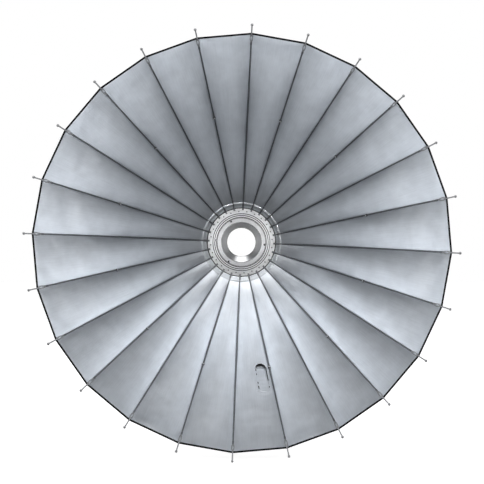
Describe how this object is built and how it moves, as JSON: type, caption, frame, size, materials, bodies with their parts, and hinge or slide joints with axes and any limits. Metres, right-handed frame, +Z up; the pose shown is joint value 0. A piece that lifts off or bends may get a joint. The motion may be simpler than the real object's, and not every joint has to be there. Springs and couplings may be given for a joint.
{
  "type": "parabolic softbox",
  "caption": "Folding deep parabolic softbox: curved ribs on a round hub spread a silver fabric dish, with a tapered bore for a light and a slot in the fabric.",
  "frame": {"origin": "centre of the rear bore, in the plane of the hub's rear seat", "axes": "+Y out of the back of the hub along the dish's axis, so the open front faces -Y; +Z up; +X to the right as seen from the front"},
  "size_m": [1.3836, 0.6452, 1.3836],
  "materials": {
    "rib_metal": "dark satin rods with bright metal tips",
    "silver_fabric": "woven silver cloth, semi-gloss",
    "black_alloy": "black anodised, satin",
    "turned_aluminium": "satin, turned",
    "bright_metal": "polished",
    "pin_steel": "plain",
    "black_plastic": "matt black"
  },
  "bodies": {
    "hub": {"main_ring": "black_alloy", "notched_ring": "turned_aluminium", "hinge_pins": "pin_steel", "ring_screws": "pin_steel", "stepped_ring": "turned_aluminium", "rear_housing": "black_alloy"},
    "runner": {"runner": "turned_aluminium", "pull_ring": "black_plastic"},
    "lock_ring": {"lock_ring": "turned_aluminium", "lock_ring_pins": "bright_metal"},
    "lock_button": {"lock_button": "bright_metal"},
    "lock_knob": {"lock_knob": "black_plastic"},
    "rib_01": {"rib_01": "rib_metal"},
    "rib_02": {"rib_02": "rib_metal"},
    "rib_03": {"rib_03": "rib_metal"},
    "rib_04": {"rib_04": "rib_metal"},
    "rib_05": {"rib_05": "rib_metal"},
    "rib_06": {"rib_06": "rib_metal"},
    "rib_07": {"rib_07": "rib_metal"},
    "rib_08": {"rib_08": "rib_metal"},
    "rib_09": {"rib_09": "rib_metal"},
    "rib_10": {"rib_10": "rib_metal"},
    "rib_11": {"rib_11": "rib_metal"},
    "rib_12": {"rib_12": "rib_metal"},
    "rib_13": {"rib_13": "rib_metal"},
    "rib_14": {"rib_14": "rib_metal"},
    "rib_15": {"rib_15": "rib_metal"},
    "rib_16": {"rib_16": "rib_metal"},
    "rib_17": {"rib_17": "rib_metal"},
    "rib_18": {"rib_18": "rib_metal"},
    "rib_19": {"rib_19": "rib_metal"},
    "rib_20": {"rib_20": "rib_metal"},
    "rib_21": {"rib_21": "rib_metal"},
    "rib_22": {"rib_22": "rib_metal"},
    "rib_23": {"rib_23": "rib_metal"},
    "rib_24": {"rib_24": "rib_metal"},
    "gore_01": {"gore_01": "silver_fabric"},
    "gore_02": {"gore_02": "silver_fabric"},
    "gore_03": {"gore_03": "silver_fabric"},
    "gore_04": {"gore_04": "silver_fabric"},
    "gore_05": {"gore_05": "silver_fabric"},
    "gore_06": {"gore_06": "silver_fabric"},
    "gore_07": {"gore_07": "silver_fabric"},
    "gore_08": {"gore_08": "silver_fabric"},
    "gore_09": {"gore_09": "silver_fabric"},
    "gore_10": {"gore_10": "silver_fabric"},
    "gore_11": {"gore_11": "silver_fabric"},
    "gore_12": {"gore_12": "silver_fabric"},
    "gore_13": {"gore_13": "silver_fabric"},
    "gore_14": {"gore_14": "silver_fabric"},
    "gore_15": {"gore_15": "silver_fabric"},
    "gore_16": {"gore_16": "silver_fabric"},
    "gore_17": {"gore_17": "silver_fabric"},
    "gore_18": {"gore_18": "silver_fabric"},
    "gore_19": {"gore_19": "silver_fabric"},
    "gore_20": {"gore_20": "silver_fabric"},
    "gore_21": {"gore_21": "silver_fabric"},
    "gore_22": {"gore_22": "silver_fabric"},
    "gore_23": {"gore_23": "silver_fabric"},
    "gore_24": {"gore_24": "silver_fabric"}
  },
  "joints": [
    {"name": "rib_01_fold", "type": "hinge", "parent": "hub", "child": "rib_01", "pos_m": [0.00541, -0.036, 0.11908], "axis": [0.999, 0, -0.0454], "range_deg": [0, 46]},
    {"name": "rib_02_fold", "type": "hinge", "parent": "hub", "child": "rib_02", "pos_m": [0.03604, -0.036, 0.11362], "axis": [0.9532, 0, -0.3024], "range_deg": [0, 46]},
    {"name": "rib_03_fold", "type": "hinge", "parent": "hub", "child": "rib_03", "pos_m": [0.06422, -0.036, 0.10042], "axis": [0.8425, 0, -0.5388], "range_deg": [0, 46]},
    {"name": "rib_04_fold", "type": "hinge", "parent": "hub", "child": "rib_04", "pos_m": [0.08802, -0.036, 0.08038], "axis": [0.6743, 0, -0.7385], "range_deg": [0, 46]},
    {"name": "rib_05_fold", "type": "hinge", "parent": "hub", "child": "rib_05", "pos_m": [0.10583, -0.036, 0.05486], "axis": [0.4602, 0, -0.8878], "range_deg": [0, 46]},
    {"name": "rib_06_fold", "type": "hinge", "parent": "hub", "child": "rib_06", "pos_m": [0.11642, -0.036, 0.0256], "axis": [0.2147, 0, -0.9767], "range_deg": [0, 46]},
    {"name": "rib_07_fold", "type": "hinge", "parent": "hub", "child": "rib_07", "pos_m": [0.11908, -0.036, -0.00541], "axis": [-0.0454, 0, -0.999], "range_deg": [0, 46]},
    {"name": "rib_08_fold", "type": "hinge", "parent": "hub", "child": "rib_08", "pos_m": [0.11362, -0.036, -0.03604], "axis": [-0.3024, 0, -0.9532], "range_deg": [0, 46]},
    {"name": "rib_09_fold", "type": "hinge", "parent": "hub", "child": "rib_09", "pos_m": [0.10042, -0.036, -0.06422], "axis": [-0.5388, 0, -0.8425], "range_deg": [0, 46]},
    {"name": "rib_10_fold", "type": "hinge", "parent": "hub", "child": "rib_10", "pos_m": [0.08038, -0.036, -0.08802], "axis": [-0.7385, 0, -0.6743], "range_deg": [0, 46]},
    {"name": "rib_11_fold", "type": "hinge", "parent": "hub", "child": "rib_11", "pos_m": [0.05486, -0.036, -0.10583], "axis": [-0.8878, 0, -0.4602], "range_deg": [0, 46]},
    {"name": "rib_12_fold", "type": "hinge", "parent": "hub", "child": "rib_12", "pos_m": [0.0256, -0.036, -0.11642], "axis": [-0.9767, 0, -0.2147], "range_deg": [0, 46]},
    {"name": "rib_13_fold", "type": "hinge", "parent": "hub", "child": "rib_13", "pos_m": [-0.00541, -0.036, -0.11908], "axis": [-0.999, 0, 0.0454], "range_deg": [0, 46]},
    {"name": "rib_14_fold", "type": "hinge", "parent": "hub", "child": "rib_14", "pos_m": [-0.03604, -0.036, -0.11362], "axis": [-0.9532, 0, 0.3024], "range_deg": [0, 46]},
    {"name": "rib_15_fold", "type": "hinge", "parent": "hub", "child": "rib_15", "pos_m": [-0.06422, -0.036, -0.10042], "axis": [-0.8425, 0, 0.5388], "range_deg": [0, 46]},
    {"name": "rib_16_fold", "type": "hinge", "parent": "hub", "child": "rib_16", "pos_m": [-0.08802, -0.036, -0.08038], "axis": [-0.6743, 0, 0.7385], "range_deg": [0, 46]},
    {"name": "rib_17_fold", "type": "hinge", "parent": "hub", "child": "rib_17", "pos_m": [-0.10583, -0.036, -0.05486], "axis": [-0.4602, 0, 0.8878], "range_deg": [0, 46]},
    {"name": "rib_18_fold", "type": "hinge", "parent": "hub", "child": "rib_18", "pos_m": [-0.11642, -0.036, -0.0256], "axis": [-0.2147, 0, 0.9767], "range_deg": [0, 46]},
    {"name": "rib_19_fold", "type": "hinge", "parent": "hub", "child": "rib_19", "pos_m": [-0.11908, -0.036, 0.00541], "axis": [0.0454, 0, 0.999], "range_deg": [0, 46]},
    {"name": "rib_20_fold", "type": "hinge", "parent": "hub", "child": "rib_20", "pos_m": [-0.11362, -0.036, 0.03604], "axis": [0.3024, 0, 0.9532], "range_deg": [0, 46]},
    {"name": "rib_21_fold", "type": "hinge", "parent": "hub", "child": "rib_21", "pos_m": [-0.10042, -0.036, 0.06422], "axis": [0.5388, 0, 0.8425], "range_deg": [0, 46]},
    {"name": "rib_22_fold", "type": "hinge", "parent": "hub", "child": "rib_22", "pos_m": [-0.08038, -0.036, 0.08802], "axis": [0.7385, 0, 0.6743], "range_deg": [0, 46]},
    {"name": "rib_23_fold", "type": "hinge", "parent": "hub", "child": "rib_23", "pos_m": [-0.05486, -0.036, 0.10583], "axis": [0.8878, 0, 0.4602], "range_deg": [0, 46]},
    {"name": "rib_24_fold", "type": "hinge", "parent": "hub", "child": "rib_24", "pos_m": [-0.0256, -0.036, 0.11642], "axis": [0.9767, 0, 0.2147], "range_deg": [0, 46]},
    {"name": "gore_01_gather", "type": "hinge", "parent": "rib_01", "child": "gore_01", "pos_m": [0.02078, -0.03673, 0.11665], "axis": [-0.1616, -0.3879, -0.9074], "range_deg": [0, 11.7], "deforming": ["gore_01"]},
    {"name": "gore_02_gather", "type": "hinge", "parent": "rib_02", "child": "gore_02", "pos_m": [0.05026, -0.03673, 0.1073], "axis": [-0.391, -0.3879, -0.8347], "range_deg": [0, 11.7], "deforming": ["gore_02"]},
    {"name": "gore_03_gather", "type": "hinge", "parent": "rib_03", "child": "gore_03", "pos_m": [0.07632, -0.03673, 0.09063], "axis": [-0.5937, -0.3879, -0.705], "range_deg": [0, 11.7], "deforming": ["gore_03"]},
    {"name": "gore_04_gather", "type": "hinge", "parent": "rib_04", "child": "gore_04", "pos_m": [0.09718, -0.03673, 0.06779], "axis": [-0.7559, -0.3879, -0.5273], "range_deg": [0, 11.7], "deforming": ["gore_04"]},
    {"name": "gore_05_gather", "type": "hinge", "parent": "rib_05", "child": "gore_05", "pos_m": [0.11141, -0.03673, 0.04033], "axis": [-0.8667, -0.3879, -0.3137], "range_deg": [0, 11.7], "deforming": ["gore_05"]},
    {"name": "gore_06_gather", "type": "hinge", "parent": "rib_06", "child": "gore_06", "pos_m": [0.11806, -0.03673, 0.01012], "axis": [-0.9183, -0.3879, -0.0787], "range_deg": [0, 11.7], "deforming": ["gore_06"]},
    {"name": "gore_07_gather", "type": "hinge", "parent": "rib_07", "child": "gore_07", "pos_m": [0.11665, -0.03673, -0.02078], "axis": [-0.9074, -0.3879, 0.1616], "range_deg": [0, 11.7], "deforming": ["gore_07"]},
    {"name": "gore_08_gather", "type": "hinge", "parent": "rib_08", "child": "gore_08", "pos_m": [0.1073, -0.03673, -0.05026], "axis": [-0.8347, -0.3879, 0.391], "range_deg": [0, 11.7], "deforming": ["gore_08"]},
    {"name": "gore_09_gather", "type": "hinge", "parent": "rib_09", "child": "gore_09", "pos_m": [0.09063, -0.03673, -0.07632], "axis": [-0.705, -0.3879, 0.5937], "range_deg": [0, 11.7], "deforming": ["gore_09"]},
    {"name": "gore_10_gather", "type": "hinge", "parent": "rib_10", "child": "gore_10", "pos_m": [0.06779, -0.03673, -0.09718], "axis": [-0.5273, -0.3879, 0.7559], "range_deg": [0, 11.7], "deforming": ["gore_10"]},
    {"name": "gore_11_gather", "type": "hinge", "parent": "rib_11", "child": "gore_11", "pos_m": [0.04033, -0.03673, -0.11141], "axis": [-0.3137, -0.3879, 0.8667], "range_deg": [0, 11.7], "deforming": ["gore_11"]},
    {"name": "gore_12_gather", "type": "hinge", "parent": "rib_12", "child": "gore_12", "pos_m": [0.01012, -0.03673, -0.11806], "axis": [-0.0787, -0.3879, 0.9183], "range_deg": [0, 11.7], "deforming": ["gore_12"]},
    {"name": "gore_13_gather", "type": "hinge", "parent": "rib_13", "child": "gore_13", "pos_m": [-0.02078, -0.03673, -0.11665], "axis": [0.1616, -0.3879, 0.9074], "range_deg": [0, 11.7], "deforming": ["gore_13"]},
    {"name": "gore_14_gather", "type": "hinge", "parent": "rib_14", "child": "gore_14", "pos_m": [-0.05026, -0.03673, -0.1073], "axis": [0.391, -0.3879, 0.8347], "range_deg": [0, 11.7], "deforming": ["gore_14"]},
    {"name": "gore_15_gather", "type": "hinge", "parent": "rib_15", "child": "gore_15", "pos_m": [-0.07632, -0.03673, -0.09063], "axis": [0.5937, -0.3879, 0.705], "range_deg": [0, 11.7], "deforming": ["gore_15"]},
    {"name": "gore_16_gather", "type": "hinge", "parent": "rib_16", "child": "gore_16", "pos_m": [-0.09718, -0.03673, -0.06779], "axis": [0.7559, -0.3879, 0.5273], "range_deg": [0, 11.7], "deforming": ["gore_16"]},
    {"name": "gore_17_gather", "type": "hinge", "parent": "rib_17", "child": "gore_17", "pos_m": [-0.11141, -0.03673, -0.04033], "axis": [0.8667, -0.3879, 0.3137], "range_deg": [0, 11.7], "deforming": ["gore_17"]},
    {"name": "gore_18_gather", "type": "hinge", "parent": "rib_18", "child": "gore_18", "pos_m": [-0.11806, -0.03673, -0.01012], "axis": [0.9183, -0.3879, 0.0787], "range_deg": [0, 11.7], "deforming": ["gore_18"]},
    {"name": "gore_19_gather", "type": "hinge", "parent": "rib_19", "child": "gore_19", "pos_m": [-0.11665, -0.03673, 0.02078], "axis": [0.9074, -0.3879, -0.1616], "range_deg": [0, 11.7], "deforming": ["gore_19"]},
    {"name": "gore_20_gather", "type": "hinge", "parent": "rib_20", "child": "gore_20", "pos_m": [-0.1073, -0.03673, 0.05026], "axis": [0.8347, -0.3879, -0.391], "range_deg": [0, 11.7], "deforming": ["gore_20"]},
    {"name": "gore_21_gather", "type": "hinge", "parent": "rib_21", "child": "gore_21", "pos_m": [-0.09063, -0.03673, 0.07632], "axis": [0.705, -0.3879, -0.5937], "range_deg": [0, 11.7], "deforming": ["gore_21"]},
    {"name": "gore_22_gather", "type": "hinge", "parent": "rib_22", "child": "gore_22", "pos_m": [-0.06779, -0.03673, 0.09718], "axis": [0.5273, -0.3879, -0.7559], "range_deg": [0, 11.7], "deforming": ["gore_22"]},
    {"name": "gore_23_gather", "type": "hinge", "parent": "rib_23", "child": "gore_23", "pos_m": [-0.04033, -0.03673, 0.11141], "axis": [0.3137, -0.3879, -0.8667], "range_deg": [0, 11.7], "deforming": ["gore_23"]},
    {"name": "gore_24_gather", "type": "hinge", "parent": "rib_24", "child": "gore_24", "pos_m": [-0.01012, -0.03673, 0.11806], "axis": [0.0787, -0.3879, -0.9183], "range_deg": [0, 11.7], "deforming": ["gore_24"]},
    {"name": "runner_slide", "type": "slide", "parent": "hub", "child": "runner", "axis": [0, 1, 0], "range_m": [0, 0.01166]},
    {"name": "lock_ring_turn", "type": "hinge", "parent": "hub", "child": "lock_ring", "pos_m": [0, -0.0475, 0], "axis": [0, 1, 0], "range_deg": [0, 30]},
    {"name": "lock_button_press", "type": "slide", "parent": "hub", "child": "lock_button", "axis": [0, 1, 0], "range_m": [0, 0.0016], "stiffness_N_per_m": 500, "springref_m": -0.002},
    {"name": "lock_knob_turn", "type": "hinge", "parent": "hub", "child": "lock_knob", "pos_m": [0, -0.011, -0.12], "axis": [0, 0, -1], "range_deg": [0, 360]}
  ],
  "couplings": [
    {"joint": "rib_02_fold", "follows": "rib_01_fold", "ratio": 1},
    {"joint": "rib_03_fold", "follows": "rib_01_fold", "ratio": 1},
    {"joint": "rib_04_fold", "follows": "rib_01_fold", "ratio": 1},
    {"joint": "rib_05_fold", "follows": "rib_01_fold", "ratio": 1},
    {"joint": "rib_06_fold", "follows": "rib_01_fold", "ratio": 1},
    {"joint": "rib_07_fold", "follows": "rib_01_fold", "ratio": 1},
    {"joint": "rib_08_fold", "follows": "rib_01_fold", "ratio": 1},
    {"joint": "rib_09_fold", "follows": "rib_01_fold", "ratio": 1},
    {"joint": "rib_10_fold", "follows": "rib_01_fold", "ratio": 1},
    {"joint": "rib_11_fold", "follows": "rib_01_fold", "ratio": 1},
    {"joint": "rib_12_fold", "follows": "rib_01_fold", "ratio": 1},
    {"joint": "rib_13_fold", "follows": "rib_01_fold", "ratio": 1},
    {"joint": "rib_14_fold", "follows": "rib_01_fold", "ratio": 1},
    {"joint": "rib_15_fold", "follows": "rib_01_fold", "ratio": 1},
    {"joint": "rib_16_fold", "follows": "rib_01_fold", "ratio": 1},
    {"joint": "rib_17_fold", "follows": "rib_01_fold", "ratio": 1},
    {"joint": "rib_18_fold", "follows": "rib_01_fold", "ratio": 1},
    {"joint": "rib_19_fold", "follows": "rib_01_fold", "ratio": 1},
    {"joint": "rib_20_fold", "follows": "rib_01_fold", "ratio": 1},
    {"joint": "rib_21_fold", "follows": "rib_01_fold", "ratio": 1},
    {"joint": "rib_22_fold", "follows": "rib_01_fold", "ratio": 1},
    {"joint": "rib_23_fold", "follows": "rib_01_fold", "ratio": 1},
    {"joint": "rib_24_fold", "follows": "rib_01_fold", "ratio": 1},
    {"joint": "gore_01_gather", "follows": "rib_01_fold", "ratio": 0.25421},
    {"joint": "gore_02_gather", "follows": "rib_01_fold", "ratio": 0.25421},
    {"joint": "gore_03_gather", "follows": "rib_01_fold", "ratio": 0.25421},
    {"joint": "gore_04_gather", "follows": "rib_01_fold", "ratio": 0.25421},
    {"joint": "gore_05_gather", "follows": "rib_01_fold", "ratio": 0.25421},
    {"joint": "gore_06_gather", "follows": "rib_01_fold", "ratio": 0.25421},
    {"joint": "gore_07_gather", "follows": "rib_01_fold", "ratio": 0.25421},
    {"joint": "gore_08_gather", "follows": "rib_01_fold", "ratio": 0.25421},
    {"joint": "gore_09_gather", "follows": "rib_01_fold", "ratio": 0.25421},
    {"joint": "gore_10_gather", "follows": "rib_01_fold", "ratio": 0.25421},
    {"joint": "gore_11_gather", "follows": "rib_01_fold", "ratio": 0.25421},
    {"joint": "gore_12_gather", "follows": "rib_01_fold", "ratio": 0.25421},
    {"joint": "gore_13_gather", "follows": "rib_01_fold", "ratio": 0.25421},
    {"joint": "gore_14_gather", "follows": "rib_01_fold", "ratio": 0.25421},
    {"joint": "gore_15_gather", "follows": "rib_01_fold", "ratio": 0.25421},
    {"joint": "gore_16_gather", "follows": "rib_01_fold", "ratio": 0.25421},
    {"joint": "gore_17_gather", "follows": "rib_01_fold", "ratio": 0.25421},
    {"joint": "gore_18_gather", "follows": "rib_01_fold", "ratio": 0.25421},
    {"joint": "gore_19_gather", "follows": "rib_01_fold", "ratio": 0.25421},
    {"joint": "gore_20_gather", "follows": "rib_01_fold", "ratio": 0.25421},
    {"joint": "gore_21_gather", "follows": "rib_01_fold", "ratio": 0.25421},
    {"joint": "gore_22_gather", "follows": "rib_01_fold", "ratio": 0.25421},
    {"joint": "gore_23_gather", "follows": "rib_01_fold", "ratio": 0.25421},
    {"joint": "gore_24_gather", "follows": "rib_01_fold", "ratio": 0.25421},
    {"joint": "runner_slide", "follows": "rib_01_fold", "m_per_rad": 0.014458}
  ]
}
